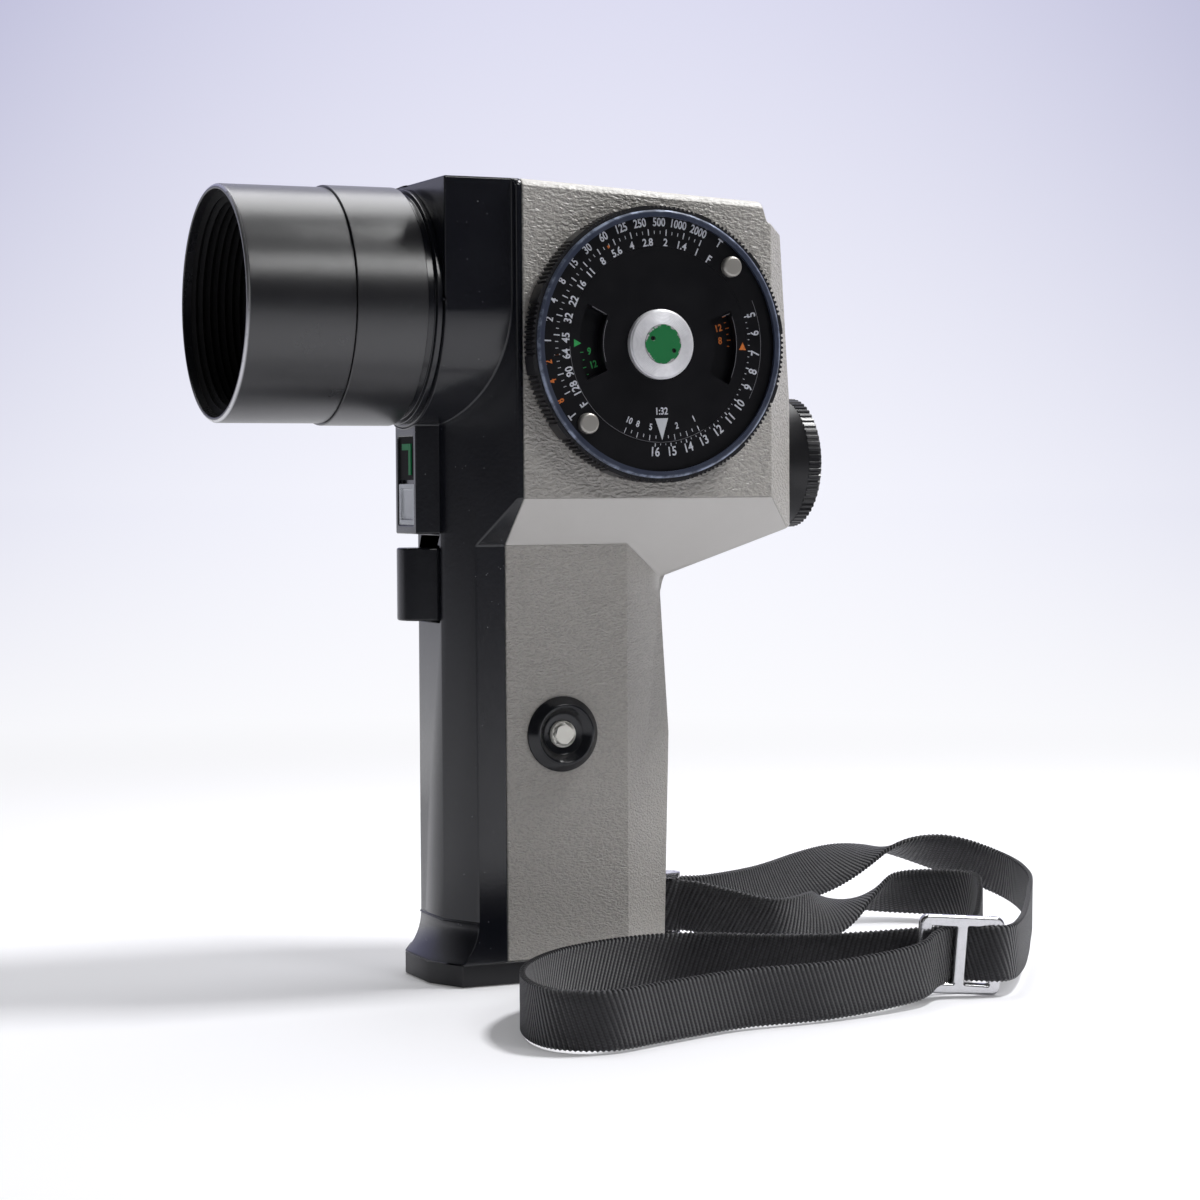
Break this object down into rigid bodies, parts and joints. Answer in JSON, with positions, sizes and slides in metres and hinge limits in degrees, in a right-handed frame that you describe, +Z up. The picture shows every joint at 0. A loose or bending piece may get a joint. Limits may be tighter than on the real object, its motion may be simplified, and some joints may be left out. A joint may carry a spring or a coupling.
{
  "type": "spot exposure meter",
  "caption": "Hand-held spot meter: raked head with round lens hood and calculator dial, eyepiece behind, trigger and check button on a pistol grip, webbing wrist strap.",
  "frame": {"origin": "mouth of the tripod socket on the underside of the base, at floor level", "axes": "+X from the lens towards the eyepiece, +Y away from the dial side, +Z up the grip"},
  "size_m": [0.2058, 0.1336, 0.1783],
  "materials": {
    "black_paint": "semi-gloss black enamel",
    "grey_crinkle": "fine crinkle grey enamel",
    "black_plastic": "moulded black, satin",
    "steel": "plain turned steel",
    "brass": "turned brass",
    "inner_plastic": "moulded, unpainted",
    "cell_case": "plain cell jacket, no print",
    "bright_metal": "polished plate",
    "barrel_black": "black anodised, worn at the rim",
    "matt_black": "flat black",
    "coated_glass": "blue-violet coating",
    "gloss_black": "gloss black",
    "green_paint": "green enamel",
    "pale_metal": "pale satin",
    "white_plastic": "moulded white",
    "dial_black": "matt black with printed scales",
    "brushed_metal": "circular brushed",
    "clear_glass": "clear",
    "cast_metal": "die-cast, matt",
    "mirror_glass": "front-silvered",
    "needle_red": "matt",
    "board_green": "varnished board",
    "webbing": "ribbed black webbing"
  },
  "bodies": {
    "case": {"front_housing": "black_paint", "rear_shell": "grey_crinkle", "base_plate": "black_plastic", "base_screws": "steel", "tripod_bush": "brass", "battery_tube": "inner_plastic", "battery": "cell_case", "battery_contact": "steel", "strap_lug": "bright_metal", "strap_pin": "bright_metal", "mount_ring": "black_paint", "barrel_rear": "barrel_black", "barrel_front": "barrel_black", "hood_liner": "matt_black", "objective_ring": "matt_black", "objective_front": "coated_glass", "objective_rear": "coated_glass", "name_panel": "gloss_black", "panel_inlay": "green_paint", "index_tile": "pale_metal", "trigger_guide": "inner_plastic", "trigger_spring": "steel", "check_ring": "gloss_black", "check_guide": "inner_plastic", "dial_plate": "matt_black", "dial_axle": "steel", "face_disc": "dial_black", "dial_hub": "brushed_metal", "hub_cap": "green_paint", "eye_flange": "black_plastic", "chassis": "cast_metal", "beam_mirror": "mirror_glass", "field_prism": "clear_glass", "photo_cell": "inner_plastic", "meter_drum": "brushed_metal", "circuit_board": "board_green", "board_parts": "inner_plastic", "housing_screws": "steel", "strap": "webbing", "strap_slider": "bright_metal"},
    "dial_outer": {"dial_ring": "black_plastic", "dial_bezel": "gloss_black", "speed_disc": "matt_black"},
    "dial_scale": {"scale_ring": "dial_black", "finger_pin_a": "bright_metal", "finger_pin_b": "bright_metal"},
    "trigger": {"trigger": "gloss_black"},
    "check_button": {"check_button": "white_plastic"},
    "dioptre": {"dioptre_ring": "black_plastic"},
    "eye_slide": {"eye_cell": "matt_black", "eye_lens": "clear_glass"},
    "battery_cap": {"battery_cap": "black_plastic"},
    "needle": {"meter_needle": "needle_red"}
  },
  "joints": [
    {"name": "speed_turn", "type": "hinge", "parent": "case", "child": "dial_outer", "pos_m": [0.025, -0.0283, 0.142], "axis": [0, -1, 0], "range_deg": [-70, 70]},
    {"name": "scale_turn", "type": "hinge", "parent": "case", "child": "dial_scale", "pos_m": [0.025, -0.0283, 0.142], "axis": [0, -1, 0], "continuous": true},
    {"name": "trigger_pull", "type": "slide", "parent": "case", "child": "trigger", "axis": [1, 0, 0], "range_m": [0, 0.004], "stiffness_N_per_m": 500, "springref_m": -0.002, "deforming": ["trigger_spring"]},
    {"name": "check_press", "type": "slide", "parent": "case", "child": "check_button", "axis": [0, 1, 0], "range_m": [0, 0.0015], "stiffness_N_per_m": 400, "springref_m": -0.001},
    {"name": "dioptre_turn", "type": "hinge", "parent": "case", "child": "dioptre", "pos_m": [0.07, 0, 0.1163], "axis": [1, 0, 0], "range_deg": [-90, 90]},
    {"name": "eye_focus", "type": "slide", "parent": "case", "child": "eye_slide", "axis": [1, 0, 0], "range_m": [-0.0015, 0.0015]},
    {"name": "cap_turn", "type": "hinge", "parent": "case", "child": "battery_cap", "pos_m": [0.022, 0, 0.0015], "axis": [0, 0, 1], "range_deg": [0, 60]},
    {"name": "needle_swing", "type": "hinge", "parent": "case", "child": "needle", "pos_m": [0.043, -0.004, 0.145], "axis": [0, 0, 1], "range_deg": [0, 50], "stiffness_Nm_per_rad": 0.0001}
  ],
  "couplings": [
    {"joint": "eye_focus", "follows": "dioptre_turn", "m_per_rad": 0.00095}
  ]
}
